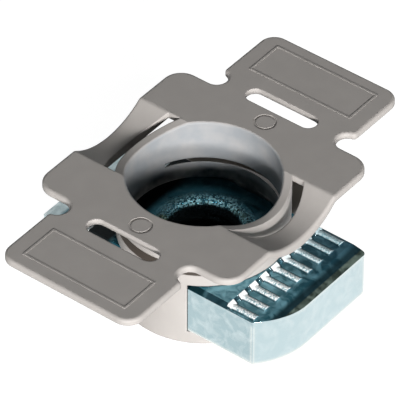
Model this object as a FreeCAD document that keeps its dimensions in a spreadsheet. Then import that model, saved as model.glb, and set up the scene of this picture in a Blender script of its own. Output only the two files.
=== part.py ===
import FreeCAD
import Part
import Sketcher
import math
import os
from collections import namedtuple

# A channel nut in its plastic holder, standing on the holder's foot ring.
# Millimetres, +Z up, X along the plate, origin at the middle of the foot ring on the floor.

DIMENSIONS = [
    ("total_height", 18.4, "floor to the top of the plate"),
    ("plate_length", 54.3, "over both grip tabs"),
    ("plate_thickness", 0.85, "tabs and wings"),
    ("tab_width", 20.6, "grip tab across Y"),
    ("tab_corner", 2.2, "round at the tab's outer corners"),
    ("wing_length", 28.6, "wings along X"),
    ("wing_width", 30.7, "wings across Y, over both strips"),
    ("wing_corner", 2.7, "round at the wings' corners"),
    ("fold_offset", 15.8, "fold line's slot and notches from the middle"),
    ("notch_lip_round", 0.6, "round between a notch and the tab's edge"),
    ("fold_slot_width", 2.6, "slot across the fold line"),
    ("fold_slot_length", 10.8, "slot along Y, over its round ends"),
    ("edge_round", 0.4, "top edges of the plate's outline"),
    ("bow_span", 12.9, "strips and ring bow between the two creases"),
    ("strip_dip", 2.1, "strips' top below the plate at mid span"),
    ("strip_thickness", 1.25, "strips at mid span"),
    ("crease_round", 0.8, "round along the creases"),
    ("strip_inner_radius", 12.4, "strips' inner edge from the bore's axis"),
    ("ring_dip", 1.2, "ring's top below the plate at mid span"),
    ("bore_diameter", 19.4, "collar's bore"),
    ("collar_diameter", 21.8, "collar and cage outside"),
    ("rim_bevel", 0.2, "bevel of the ring's top edge at the bore"),
    ("foot_height", 1.8, "foot ring below the nut"),
    ("nut_clearance", 0.06, "between the nut and its window, each side"),
    ("slit_below_top", 5.75, "slit's upper face below the plate's top"),
    ("slit_height", 0.65, "slit at the bore"),
    ("slit_fall", 1.0, "slit's lower face falls outwards by this"),
    ("slit_angle", 136.0, "slit round the bore, each side"),
    ("mark_diameter", 3.0, "round mould marks on the plate, outside"),
    ("mark_offset", 12.4, "mould marks from the middle"),
    ("mark_line", 0.35, "width of a mould mark's groove"),
    ("mark_depth", 0.12, "mould marks into the plate"),
    ("panel_length", 15.8, "outlined panel on a tab, across Y"),
    ("panel_width", 5.9, "outlined panel on a tab, along X"),
    ("panel_offset", 22.35, "outlined panel's middle from the middle"),
    ("panel_line", 0.25, "width of the fine line round a panel"),
    ("panel_rise", 0.06, "fine line above the tab"),
    ("nut_length", 36.0, "nut bar along Y"),
    ("nut_width", 19.2, "nut bar along X"),
    ("nut_thickness", 7.65, "nut bar, land to underside"),
    ("nut_corner_radius", 10.4, "large round of the two leading corners"),
    ("nut_corner_start", 2.35, "large round's start from the bar's middle line"),
    ("nut_edge_round", 0.4, "upright edges of the nut bar"),
    ("nut_under_chamfer", 0.25, "lower edges of the nut bar"),
    ("nut_side_bevel", 0.6, "long top edges of the nut bar"),
    ("land_half_length", 10.95, "raised land's edge from the bar's middle"),
    ("floor_drop", 0.55, "ridge floor below the land"),
    ("floor_ramp", 0.2, "steep step from the land to the floor"),
    ("apron_start", 15.8, "floor begins to fall towards the end"),
    ("apron_fall", 0.25, "floor's fall at the brow"),
    ("brow_start", 17.3, "floor falls steeper from here"),
    ("brow_fall", 0.25, "brow's fall at the bar's end"),
    ("ridge_pitch", 2.17, "ridge to ridge"),
    ("ridge_count", 9, "ridges on each end"),
    ("ridge_length", 3.95, "ridge along Y, from the land"),
    ("ridge_height", 0.25, "ridge above the floor"),
    ("ridge_base", 1.3, "ridge's width at the floor"),
    ("ridge_top", 0.35, "ridge's width at its top"),
    ("head_width", 1.65, "wide root of a ridge at the land"),
    ("head_length", 0.42, "root's slope along Y, from the land to the ridge's top"),
    ("thread_core_diameter", 8.5, "tapping hole of the M10 thread"),
    ("thread_mouth_diameter", 11.0, "countersink at both mouths"),
    ("overcut", 1.0, "how far cutting outlines run past the material"),
]

doc = FreeCAD.newDocument("channel_nut_holder")
sheet = doc.addObject("Spreadsheet::Sheet", "dims")
for row, (alias, number, note) in enumerate(DIMENSIONS, start=1):
    sheet.set("A%d" % row, alias)
    sheet.set("B%d" % row, str(number))
    sheet.set("C%d" % row, note)
    sheet.setAlias("B%d" % row, alias)
doc.recompute()

Edge = namedtuple("Edge", "geometry first last")


def size(expression):
    """Number that an expression of the sheet's values gives."""
    return float(sheet.evalExpression(expression))


def new_body(label):
    """Empty body whose label names its file."""
    body = doc.addObject("PartDesign::Body", label)
    body.Label = label
    return body


def origin_feature(body, role):
    """One of the body's own origin planes or axes."""
    return next(item for item in body.Origin.OriginFeatures if item.Role == role)


def new_sketch(body, name, role, lift=None):
    """Sketch on an origin plane of the body, lifted along the plane's normal by an expression."""
    sketch = body.newObject("Sketcher::SketchObject", name)
    sketch.AttachmentSupport = [(origin_feature(body, role), "")]
    sketch.MapMode = "FlatFace"
    if lift is not None:
        sketch.setExpression("AttachmentOffset.Base.z", lift)
    return sketch


def arc_between(centre, start, end, turn):
    """Arc about a centre from start to end: turn is 1 anticlockwise, -1 clockwise."""
    first, last = (start, end) if turn > 0 else (end, start)
    angles = [math.atan2(p[1] - centre[1], p[0] - centre[0]) for p in (first, last)]
    radius = math.dist(centre, start)
    circle = Part.Circle(FreeCAD.Vector(*centre, 0), FreeCAD.Vector(0, 0, 1), radius)
    return Part.ArcOfCircle(circle, *angles)


def trace(sketch, start, steps):
    """Closed outline of lines and arcs, which meet end to end.

    A step is (end, joint) for a line, or (end, joint, centre, turn) for an arc. The joint is the
    constraint where the step begins: Coincident for a corner, Tangent for a smooth change.
    """
    edges = []
    here = start
    for end, _, *bend in steps:
        if bend:
            centre, turn = bend
            shape = arc_between(centre, here, end, turn)
        else:
            turn = 1
            shape = Part.LineSegment(FreeCAD.Vector(*here, 0), FreeCAD.Vector(*end, 0))
        ends = (1, 2) if turn > 0 else (2, 1)
        edges.append(Edge(sketch.addGeometry(shape, False), *ends))
        here = end
    for index, step in enumerate(steps):
        before, after = edges[index - 1], edges[index]
        joint = Sketcher.Constraint(step[1], before.geometry, before.last, after.geometry, after.first)
        sketch.addConstraint(joint)
    return edges


def circle(sketch, centre, diameter, name):
    """Full circle whose diameter follows the sheet."""
    across = size(diameter)
    shape = Part.Circle(FreeCAD.Vector(*centre, 0), FreeCAD.Vector(0, 0, 1), across / 2)
    geometry = sketch.addGeometry(shape, False)
    bind(sketch, "Diameter", (geometry,), across, diameter, name)
    return geometry


def bind(sketch, kind, place, value, expression, name):
    """Adds a named driving constraint and ties it to the sheet."""
    index = sketch.addConstraint(Sketcher.Constraint(kind, *place, value))
    sketch.renameConstraint(index, name)
    sketch.setExpression("Constraints." + name, expression)


def set_x(sketch, geometry, end, expression, name):
    """Ties a point's first coordinate to the sheet: end 1 is a start, 2 an end, 3 a centre."""
    value = sketch.getPoint(geometry, end).x
    bind(sketch, "DistanceX", (-1, 1, geometry, end), value, expression, name)


def set_y(sketch, geometry, end, expression, name):
    """Ties a point's second coordinate to the sheet."""
    value = sketch.getPoint(geometry, end).y
    bind(sketch, "DistanceY", (-1, 1, geometry, end), value, expression, name)


def set_radius(sketch, geometry, expression, name):
    """Ties an arc's radius to the sheet."""
    bind(sketch, "Radius", (geometry,), sketch.Geometry[geometry].Radius, expression, name)


def on_axis(sketch, geometry, end, axis):
    """Puts a point on the sketch's first axis (-1) or second axis (-2)."""
    sketch.addConstraint(Sketcher.Constraint("PointOnObject", geometry, end, axis))


def at_origin(sketch, geometry):
    """Puts the centre of a circle or an arc at the sketch's origin."""
    sketch.addConstraint(Sketcher.Constraint("Coincident", geometry, 3, -1, 1))


def square_up(sketch, edges):
    """Makes each line that is drawn level or upright stay so."""
    for edge in edges:
        shape = sketch.Geometry[edge.geometry]
        if not isinstance(shape, Part.LineSegment):
            continue
        run = shape.EndPoint - shape.StartPoint
        kind = "Horizontal" if abs(run.x) > abs(run.y) else "Vertical"
        sketch.addConstraint(Sketcher.Constraint(kind, edge.geometry))


def polygon(sketch, corners, label):
    """Closed outline of straight lines, each corner given as two expressions of the sheet."""
    places = [tuple(size(text) for text in corner) for corner in corners]
    steps = [(place, "Coincident") for place in places[1:] + places[:1]]
    edges = trace(sketch, places[0], steps)
    for index, (edge, corner) in enumerate(zip(edges, corners)):
        set_x(sketch, edge.geometry, edge.first, corner[0], "%s_x%d" % (label, index))
        set_y(sketch, edge.geometry, edge.first, corner[1], "%s_y%d" % (label, index))


def rectangle(left, right, low, high):
    """Corners of a rectangle, as expressions."""
    return [(left, low), (right, low), (right, high), (left, high)]


def pad(body, sketch, name, length, both_ways=False):
    """Pad of a sketch along its normal, or half each way."""
    feature = body.newObject("PartDesign::Pad", name)
    feature.Profile = sketch
    feature.Midplane = both_ways
    feature.setExpression("Length", length)
    doc.recompute()
    return feature


def cut_through(body, sketch, name):
    """Pocket through everything, on both sides of the sketch."""
    feature = body.newObject("PartDesign::Pocket", name)
    feature.Profile = sketch
    feature.Type = "ThroughAll"
    feature.Midplane = True
    doc.recompute()
    return feature


def cut_down(body, sketch, name, depth):
    """Pocket from a sketch down to a depth."""
    feature = body.newObject("PartDesign::Pocket", name)
    feature.Profile = sketch
    feature.setExpression("Length", depth)
    doc.recompute()
    return feature


def mirror_body(body, name, role):
    """Adds the mirror image of all that the body has so far, across one of its origin planes."""
    feature = body.newObject("PartDesign::Mirrored", name)
    feature.TransformMode = "Whole shape"
    feature.MirrorPlane = (origin_feature(body, role), [""])
    body.Tip = feature
    doc.recompute()
    return feature


def soften(body, kind, name, prop, expression, chosen):
    """Fillet or chamfer on the edges of the body's tip that pass a test."""
    tip = body.Tip
    names = ["Edge%d" % number for number, edge in enumerate(tip.Shape.Edges, start=1)
             if chosen(tip.Shape, edge)]
    feature = body.newObject("PartDesign::" + kind, name)
    feature.Base = (tip, names)
    feature.setExpression(prop, expression)
    doc.recompute()
    return feature


def middle(edge):
    """Point halfway along an edge."""
    return edge.valueAt(0.5 * (edge.FirstParameter + edge.LastParameter))


def off_axis(edge):
    """Distance of an edge's middle from the bore's axis."""
    here = middle(edge)
    return math.hypot(here.x, here.y)


def slopes(shape, edge):
    """Upward parts of the normals of the two faces at an edge, the lower first."""
    here = middle(edge)
    faces = shape.ancestorsOfType(edge, Part.Face)
    return sorted(face.normalAt(*face.Surface.parameter(here)).z for face in faces)


def is_upright(edge):
    """True for a straight edge along Z."""
    return edge.Curve.TypeId == "Part::GeomLine" and abs(edge.tangentAt(edge.FirstParameter).z) > 0.99


def bow_bend(dip, drop):
    """Radius, as an expression, of an arc over the bow's span that sags by dip from its chord."""
    sag = "(%s - %s)" % (dip, drop)
    return "((dims.bow_span / 2)^2 + %s^2) / (2 * %s)" % (sag, sag)


def trough(body, name, dip):
    """Cuts the top away between the creases, down to a shallow arc along Y."""
    half, top = size("dims.bow_span / 2"), size("dims.total_height")
    lid = top + size("dims.overcut")
    bend = bow_bend(dip, "0")
    sketch = new_sketch(body, name + "_sketch", "XZ_Plane")
    edges = trace(sketch, (-half, top), [
        ((half, top), "Coincident", (0.0, top - size(dip) + size(bend)), 1),
        ((half, lid), "Coincident"),
        ((-half, lid), "Coincident"),
        ((-half, top), "Coincident"),
    ])
    square_up(sketch, edges)
    bowl, right, _, left = edges
    on_axis(sketch, bowl.geometry, 3, -2)
    set_radius(sketch, bowl.geometry, bend, "bend")
    set_x(sketch, right.geometry, right.first, "dims.bow_span / 2", "right")
    set_x(sketch, left.geometry, left.first, "-dims.bow_span / 2", "left")
    set_y(sketch, right.geometry, right.first, "dims.total_height", "top")
    set_y(sketch, right.geometry, right.last, "dims.total_height + dims.overcut", "lid")
    return cut_through(body, sketch, name)


def plate_quarter(body):
    """A quarter of the plate's outline, padded as deep as the strips reach."""
    end, tab = size("dims.plate_length / 2"), size("dims.tab_width / 2")
    front, side = size("dims.wing_length / 2"), size("dims.wing_width / 2")
    tab_round, wing_round = size("dims.tab_corner"), size("dims.wing_corner")
    fold, lip = size("dims.fold_offset"), size("dims.notch_lip_round")
    notch = fold - front
    reach = math.sqrt(notch * notch + 2 * notch * lip)
    touch = (fold + notch * reach / (notch + lip), tab - notch * lip / (notch + lip))
    sketch = new_sketch(body, "plate_sketch", "XY_Plane",
                        "dims.total_height - dims.strip_dip - dims.strip_thickness")
    edges = trace(sketch, (0.0, 0.0), [
        ((end, 0.0), "Coincident"),
        ((end, tab - tab_round), "Coincident"),
        ((end - tab_round, tab), "Tangent", (end - tab_round, tab - tab_round), 1),
        ((fold + reach, tab), "Tangent"),
        (touch, "Tangent", (fold + reach, tab - lip), 1),
        ((front, tab), "Tangent", (fold, tab), -1),
        ((front, side - wing_round), "Tangent"),
        ((front - wing_round, side), "Tangent", (front - wing_round, side - wing_round), 1),
        ((0.0, side), "Tangent"),
        ((0.0, 0.0), "Coincident"),
    ])
    square_up(sketch, edges)
    base, _, tab_arc, tab_edge, lip_arc, notch_arc, _, wing_arc, side_edge, _ = edges
    sketch.addConstraint(Sketcher.Constraint("Coincident", base.geometry, base.first, -1, 1))
    set_x(sketch, base.geometry, base.last, "dims.plate_length / 2", "end")
    set_y(sketch, tab_edge.geometry, tab_edge.last, "dims.tab_width / 2", "tab")
    set_y(sketch, side_edge.geometry, side_edge.last, "dims.wing_width / 2", "side")
    set_x(sketch, notch_arc.geometry, 3, "dims.fold_offset", "fold")
    set_y(sketch, notch_arc.geometry, 3, "dims.tab_width / 2", "notch_height")
    set_radius(sketch, notch_arc.geometry, "dims.fold_offset - dims.wing_length / 2", "notch")
    set_radius(sketch, tab_arc.geometry, "dims.tab_corner", "tab_round")
    set_radius(sketch, lip_arc.geometry, "dims.notch_lip_round", "lip_round")
    set_radius(sketch, wing_arc.geometry, "dims.wing_corner", "wing_round")
    pad(body, sketch, "plate_quarter", "dims.strip_dip + dims.strip_thickness")
    mirror_body(body, "plate_half", "YZ_Plane")
    mirror_body(body, "plate_blank", "XZ_Plane")


def hollow_underside(body):
    """Cuts the blank away below the plate and below the bowed strips."""
    half = size("dims.bow_span / 2")
    under_text = "dims.total_height - dims.plate_thickness"
    low_text = "dims.total_height - dims.strip_dip - dims.strip_thickness - dims.overcut"
    end_text = "dims.plate_length / 2 + dims.overcut"
    end, under, low = size(end_text), size(under_text), size(low_text)
    bend = bow_bend("dims.strip_dip + dims.strip_thickness", "dims.plate_thickness")
    sag = size("dims.strip_dip + dims.strip_thickness - dims.plate_thickness")
    sketch = new_sketch(body, "underside_sketch", "XZ_Plane")
    edges = trace(sketch, (-end, low), [
        ((end, low), "Coincident"),
        ((end, under), "Coincident"),
        ((half, under), "Coincident"),
        ((-half, under), "Coincident", (0.0, under - sag + size(bend)), -1),
        ((-end, under), "Coincident"),
        ((-end, low), "Coincident"),
    ])
    square_up(sketch, edges)
    floor, _, right, bowl, left, _ = edges
    on_axis(sketch, bowl.geometry, 3, -2)
    set_radius(sketch, bowl.geometry, bend, "bend")
    set_x(sketch, floor.geometry, floor.first, "-(%s)" % end_text, "left_end")
    set_x(sketch, floor.geometry, floor.last, end_text, "right_end")
    set_y(sketch, floor.geometry, floor.first, low_text, "low")
    set_x(sketch, right.geometry, right.last, "dims.bow_span / 2", "right")
    set_x(sketch, left.geometry, left.first, "-dims.bow_span / 2", "left")
    set_y(sketch, right.geometry, right.last, under_text, "under_right")
    return cut_through(body, sketch, "underside")


def ring_gap(body):
    """Clears the bowed zone inside the strips, where the ring goes."""
    half, radius = size("dims.bow_span / 2"), size("dims.strip_inner_radius")
    rise = math.sqrt(radius * radius - half * half)
    sketch = new_sketch(body, "ring_gap_sketch", "XY_Plane")
    edges = trace(sketch, (half, -rise), [
        ((half, rise), "Coincident"),
        ((-half, rise), "Coincident", (0.0, 0.0), 1),
        ((-half, -rise), "Coincident"),
        ((half, -rise), "Coincident", (0.0, 0.0), 1),
    ])
    square_up(sketch, edges)
    right, far, left, near = edges
    at_origin(sketch, far.geometry)
    at_origin(sketch, near.geometry)
    set_radius(sketch, far.geometry, "dims.strip_inner_radius", "far_edge")
    set_radius(sketch, near.geometry, "dims.strip_inner_radius", "near_edge")
    set_x(sketch, right.geometry, right.first, "dims.bow_span / 2", "right")
    set_x(sketch, left.geometry, left.first, "-dims.bow_span / 2", "left")
    return cut_through(body, sketch, "ring_gap")


def collar(body):
    """Collar and cage: one tube from the floor to the plate's top, with a bowed ring on top."""
    outer = new_sketch(body, "collar_sketch", "XY_Plane")
    at_origin(outer, circle(outer, (0, 0), "dims.collar_diameter", "outside"))
    pad(body, outer, "collar_solid", "dims.total_height")
    inner = new_sketch(body, "bore_sketch", "XY_Plane")
    at_origin(inner, circle(inner, (0, 0), "dims.bore_diameter", "bore"))
    cut_through(body, inner, "bore")
    trough(body, "ring_trough", "dims.ring_dip")
    rim = size("dims.bore_diameter / 2")
    low = size("dims.total_height - dims.ring_dip") - 0.1
    soften(body, "Chamfer", "rim", "Size", "dims.rim_bevel",
           lambda shape, edge: abs(off_axis(edge) - rim) < 0.05 and edge.BoundBox.ZMin > low)


def cage_window(body):
    """Window right through the cage for the nut bar."""
    half = "dims.nut_width / 2 + dims.nut_clearance"
    top = "dims.foot_height + dims.nut_thickness + dims.nut_clearance"
    sketch = new_sketch(body, "window_sketch", "XZ_Plane")
    polygon(sketch, rectangle("-(%s)" % half, half, "dims.foot_height", top), "window")
    return cut_through(body, sketch, "window")


def flex_slits(body):
    """Slit round each side of the collar, which leaves it joined to the cage over the windows."""
    wall = "(dims.collar_diameter - dims.bore_diameter) / 2"
    spare = "%s / 4" % wall
    inner = "dims.bore_diameter / 2 - %s" % spare
    outer = "dims.collar_diameter / 2 + %s" % spare
    top = "dims.total_height - dims.slit_below_top"
    sketch = new_sketch(body, "slit_sketch", "XZ_Plane")
    polygon(sketch, [
        (inner, top),
        (inner, "%s - dims.slit_height + dims.slit_fall / 4" % top),
        (outer, "%s - dims.slit_height - dims.slit_fall * 5 / 4" % top),
        (outer, top),
    ], "slit")
    slit = body.newObject("PartDesign::Groove", "slit")
    slit.Profile = sketch
    slit.ReferenceAxis = (origin_feature(body, "Z_Axis"), [""])
    slit.Midplane = True
    slit.setExpression("Angle", "dims.slit_angle")
    doc.recompute()
    pair = body.newObject("PartDesign::PolarPattern", "slits")
    pair.Originals = [slit]
    pair.Axis = (origin_feature(body, "Z_Axis"), [""])
    pair.Angle = 360
    pair.Occurrences = 2
    body.Tip = pair
    doc.recompute()


def fold_slots(body):
    """Slot with round ends on each fold line."""
    fold, half = size("dims.fold_offset"), size("dims.fold_slot_width / 2")
    reach = size("dims.fold_slot_length / 2") - half
    sketch = new_sketch(body, "fold_slot_sketch", "XY_Plane")
    for name, side in (("right", 1), ("left", -1)):
        middle_x = side * fold
        edges = trace(sketch, (middle_x + half, -reach), [
            ((middle_x + half, reach), "Tangent"),
            ((middle_x - half, reach), "Tangent", (middle_x, reach), 1),
            ((middle_x - half, -reach), "Tangent"),
            ((middle_x + half, -reach), "Tangent", (middle_x, -reach), 1),
        ])
        _, far, _, near = edges
        for arc, sign in ((far, ""), (near, "-")):
            end = "%s_%s" % (name, "far" if sign == "" else "near")
            set_x(sketch, arc.geometry, 3, "%d * dims.fold_offset" % side, end + "_x")
            set_y(sketch, arc.geometry, 3,
                  "%s(dims.fold_slot_length - dims.fold_slot_width) / 2" % sign, end + "_y")
        set_radius(sketch, far.geometry, "dims.fold_slot_width / 2", name + "_round")
    return cut_through(body, sketch, "fold_slots")


def top_marks(body):
    """Ring-shaped mould marks beside the bore, and a fine raised line round a panel on each tab."""
    marks = new_sketch(body, "mark_sketch", "XY_Plane", "dims.total_height")
    panels = new_sketch(body, "panel_sketch", "XY_Plane", "dims.total_height")
    for name, side in (("right", 1), ("left", -1)):
        for part, inset in (("outside", "0"), ("inside", "1")):
            label = "%s_%s" % (name, part)
            across = "dims.mark_diameter - %s * 2 * dims.mark_line" % inset
            spot = circle(marks, (side * size("dims.mark_offset"), 0), across, label)
            on_axis(marks, spot, 3, -1)
            set_x(marks, spot, 3, "%d * dims.mark_offset" % side, label + "_x")
            half_width = "(dims.panel_width / 2 - %s * dims.panel_line)" % inset
            half_length = "(dims.panel_length / 2 - %s * dims.panel_line)" % inset
            edges = ["%d * dims.panel_offset %s %s" % (side, sign, half_width) for sign in "-+"]
            polygon(panels, rectangle(*edges, "-" + half_length, half_length), label)
    cut_down(body, marks, "marks", "dims.mark_depth")
    pad(body, panels, "panel_lines", "dims.panel_rise")


def build_holder():
    """Plastic holder: plate, spring strips, collar, cage and foot ring in one moulding."""
    body = new_body("holder_clip")
    plate_quarter(body)
    trough(body, "strip_trough", "dims.strip_dip")
    hollow_underside(body)
    crease = size("dims.bow_span / 2")
    soften(body, "Fillet", "creases", "Radius", "dims.crease_round",
           lambda shape, edge: abs(abs(middle(edge).x) - crease) < 0.01 and abs(middle(edge).y) < 0.01)
    soften(body, "Fillet", "top_edges", "Radius", "dims.edge_round",
           lambda shape, edge: abs(slopes(shape, edge)[0]) < 0.1 and slopes(shape, edge)[1] > 0.5)
    ring_gap(body)
    collar(body)
    cage_window(body)
    flex_slits(body)
    fold_slots(body)
    top_marks(body)
    return body


def bar_outline(sketch):
    """Nut bar seen from above: two leading corners have a large round, the other two are square."""
    half, end = size("dims.nut_width / 2"), size("dims.nut_length / 2")
    radius, start = size("dims.nut_corner_radius"), size("dims.nut_corner_start")
    shoulder = end - radius + math.sqrt(radius * radius - (half - start) ** 2)
    edges = trace(sketch, (half, -end), [
        ((-start, -end), "Coincident"),
        ((-half, -shoulder), "Tangent", (-start, radius - end), -1),
        ((-half, end), "Coincident"),
        ((start, end), "Coincident"),
        ((half, shoulder), "Tangent", (start, end - radius), -1),
        ((half, -end), "Coincident"),
    ])
    square_up(sketch, edges)
    near, near_arc, left, far, far_arc, right = edges
    set_x(sketch, near.geometry, near.first, "dims.nut_width / 2", "right")
    set_y(sketch, near.geometry, near.first, "-dims.nut_length / 2", "near")
    set_x(sketch, far.geometry, far.first, "-dims.nut_width / 2", "left")
    set_y(sketch, far.geometry, far.first, "dims.nut_length / 2", "far")
    set_x(sketch, near.geometry, near.last, "-dims.nut_corner_start", "near_start")
    set_x(sketch, far.geometry, far.last, "dims.nut_corner_start", "far_start")
    set_radius(sketch, near_arc.geometry, "dims.nut_corner_radius", "near_round")
    set_radius(sketch, far_arc.geometry, "dims.nut_corner_radius", "far_round")


def lower_ends(body):
    """Cuts both ends of the bar down to the ridge floor, which falls towards the end."""
    top = "(dims.foot_height + dims.nut_thickness)"
    lid = top + " + dims.overcut"
    far = "(dims.nut_length / 2 + dims.overcut)"
    floor = top + " - dims.floor_drop"
    brow = floor + " - dims.apron_fall"
    slope = "dims.brow_fall / (dims.nut_length / 2 - dims.brow_start)"
    sketch = new_sketch(body, "floor_sketch", "YZ_Plane")
    for name, sign in (("far", "1"), ("near", "-1")):
        profile = [
            ("dims.land_half_length", lid),
            ("dims.land_half_length", top),
            ("(dims.land_half_length + dims.floor_ramp)", floor),
            ("dims.apron_start", floor),
            ("dims.brow_start", brow),
            (far, "%s - %s * (%s - dims.brow_start)" % (brow, slope, far)),
            (far, lid),
        ]
        polygon(sketch, [("%s * %s" % (sign, y), z) for y, z in profile], name)
    return cut_through(body, sketch, "floors")


def bevel_sides(body):
    """Bevels both long top edges of the bar."""
    top = "dims.foot_height + dims.nut_thickness"
    reach = "(dims.nut_width / 2 + dims.overcut)"
    back = "(dims.nut_width / 2 - dims.nut_side_bevel - dims.overcut)"
    sketch = new_sketch(body, "bevel_sketch", "XZ_Plane")
    for name, sign in (("right", "1"), ("left", "-1")):
        polygon(sketch, [
            ("%s * %s" % (sign, back), top + " + dims.overcut"),
            ("%s * %s" % (sign, reach), top + " - dims.nut_side_bevel - dims.overcut"),
            ("%s * %s" % (sign, reach), top + " + dims.overcut"),
        ], name)
    return cut_through(body, sketch, "side_bevels")


def ridge_head(body, place, floor):
    """Root of one ridge on the near end: a wedge from the land down to the floor."""
    crest = "%s + dims.ridge_height" % floor
    toe = "dims.land_half_length + dims.head_length + dims.ridge_height"
    sketch = new_sketch(body, "head_sketch", "YZ_Plane", place)
    polygon(sketch, [
        ("-(dims.land_half_length - dims.floor_ramp)", floor),
        ("-(%s)" % toe, floor),
        ("-(dims.land_half_length + dims.head_length)", crest),
        ("-dims.land_half_length", "%s + dims.floor_drop" % floor),
        ("-(dims.land_half_length - dims.floor_ramp)", "%s + dims.floor_drop" % floor),
    ], "head")
    return pad(body, sketch, "ridge_head", "dims.head_width", both_ways=True)


def ridges(body):
    """Row of ridges across both ends, each with a wide root that slopes down from the land."""
    floor = "dims.foot_height + dims.nut_thickness - dims.floor_drop"
    root = "dims.ridge_height / 4"
    flare = "(dims.ridge_base - dims.ridge_top) / 2 / dims.ridge_height"
    first = "-dims.ridge_pitch * (dims.ridge_count - 1) / 2"
    low = "(dims.ridge_base / 2 + %s * %s)" % (flare, root)
    sketch = new_sketch(body, "ridge_sketch", "XZ_Plane", "dims.land_half_length")
    polygon(sketch, [
        ("%s - %s" % (first, low), "%s - %s" % (floor, root)),
        ("%s + %s" % (first, low), "%s - %s" % (floor, root)),
        ("%s + dims.ridge_top / 2" % first, "%s + dims.ridge_height" % floor),
        ("%s - dims.ridge_top / 2" % first, "%s + dims.ridge_height" % floor),
    ], "ridge")
    ridge = pad(body, sketch, "ridge", "dims.ridge_length")
    head = ridge_head(body, first, floor)
    rows = body.newObject("PartDesign::MultiTransform", "ridge_rows")
    rows.Originals = [ridge, head]
    row = body.newObject("PartDesign::LinearPattern", "ridge_row")
    row.Direction = (origin_feature(body, "X_Axis"), [""])
    row.setExpression("Length", "dims.ridge_pitch * (dims.ridge_count - 1)")
    row.setExpression("Occurrences", "dims.ridge_count")
    ends = body.newObject("PartDesign::PolarPattern", "ridge_ends")
    ends.Axis = (origin_feature(body, "Z_Axis"), [""])
    ends.Angle = 360
    ends.Occurrences = 2
    rows.Transformations = [row, ends]
    body.Tip = rows
    doc.recompute()


def tapped_hole(body):
    """Tapping hole through the bar, countersunk at both mouths."""
    sketch = new_sketch(body, "hole_sketch", "XY_Plane")
    at_origin(sketch, circle(sketch, (0, 0), "dims.thread_core_diameter", "core"))
    cut_through(body, sketch, "tapping_hole")
    core = size("dims.thread_core_diameter / 2")
    soften(body, "Chamfer", "mouths", "Size",
           "(dims.thread_mouth_diameter - dims.thread_core_diameter) / 2",
           lambda shape, edge: edge.Closed and abs(off_axis(edge) - core) < 0.001)


def build_nut():
    """Steel nut bar, resting on the foot ring inside the cage's window."""
    body = new_body("channel_nut")
    sketch = new_sketch(body, "bar_sketch", "XY_Plane", "dims.foot_height")
    bar_outline(sketch)
    pad(body, sketch, "bar", "dims.nut_thickness")
    side = size("dims.nut_width / 2")
    soften(body, "Fillet", "upright_edges", "Radius", "dims.nut_edge_round",
           lambda shape, edge: is_upright(edge) and abs(abs(middle(edge).x) - side) < 0.01)
    bottom = size("dims.foot_height")
    soften(body, "Chamfer", "lower_edges", "Size", "dims.nut_under_chamfer",
           lambda shape, edge: abs(edge.BoundBox.ZMax - bottom) < 0.001)
    lower_ends(body)
    ridges(body)
    bevel_sides(body)
    tapped_hole(body)
    return body


bodies = [build_holder(), build_nut()]
doc.recompute()

for item in doc.Objects:
    if {"Invalid", "Error"} & set(item.State):
        raise RuntimeError("%s did not build: %s" % (item.Label, item.State))

os.makedirs("parts", exist_ok=True)
for body in bodies:
    shape = body.Shape
    if shape.isNull() or not shape.isValid() or len(shape.Solids) != 1:
        raise RuntimeError("%s is not one sound solid" % body.Label)
    shape.exportStep("parts/%s.step" % body.Label)
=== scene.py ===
"""Looks of a channel nut in its plastic holder: finishes, thread, studio and camera."""

import logging
import math
from dataclasses import dataclass
from enum import Enum
from typing import Any

import bmesh
import bpy
from mathutils import Matrix, Vector


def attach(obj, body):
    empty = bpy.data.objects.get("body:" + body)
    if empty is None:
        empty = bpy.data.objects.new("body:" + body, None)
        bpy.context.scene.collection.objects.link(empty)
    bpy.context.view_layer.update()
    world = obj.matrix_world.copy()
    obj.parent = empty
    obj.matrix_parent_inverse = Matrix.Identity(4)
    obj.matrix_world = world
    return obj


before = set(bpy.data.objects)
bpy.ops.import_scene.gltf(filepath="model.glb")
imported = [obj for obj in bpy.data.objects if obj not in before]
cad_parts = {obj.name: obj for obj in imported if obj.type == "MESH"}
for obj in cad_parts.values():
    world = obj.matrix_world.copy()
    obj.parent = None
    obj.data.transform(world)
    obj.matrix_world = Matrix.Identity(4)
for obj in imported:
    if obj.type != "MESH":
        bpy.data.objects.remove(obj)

MM = 0.001
# Multiplied with a place, FLAT drops its height.
FLAT = (1.0, 1.0, 0.0)
UP = (0.0, 0.0, 1.0)
# Rays that look for the neighbours of a softened edge.
EDGE_SAMPLES = 8
# Sums of fourth powers at which an oval patch begins and is full.
PATCH_RIM = (1.0, 0.3)
# A ray of a smaller diffuse depth has met no matt surface yet.
FIRST_BOUNCE = 0.5
log = logging.getLogger("channel_nut")
Socket = bpy.types.NodeSocket


def linear(code: str) -> tuple[float, float, float, float]:
    """Turns an sRGB hex colour into the linear colour that a shader takes.

    Args:
        code: Colour as "#RRGGBB".

    Returns:
        Linear red, green and blue, and an alpha of 1.
    """
    parts = [int(code[i:i + 2], 16) / 255 for i in (1, 3, 5)]
    parts = [p / 12.92 if p <= 0.04045 else ((p + 0.055) / 1.055) ** 2.4 for p in parts]
    return (*parts, 1.0)


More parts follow.
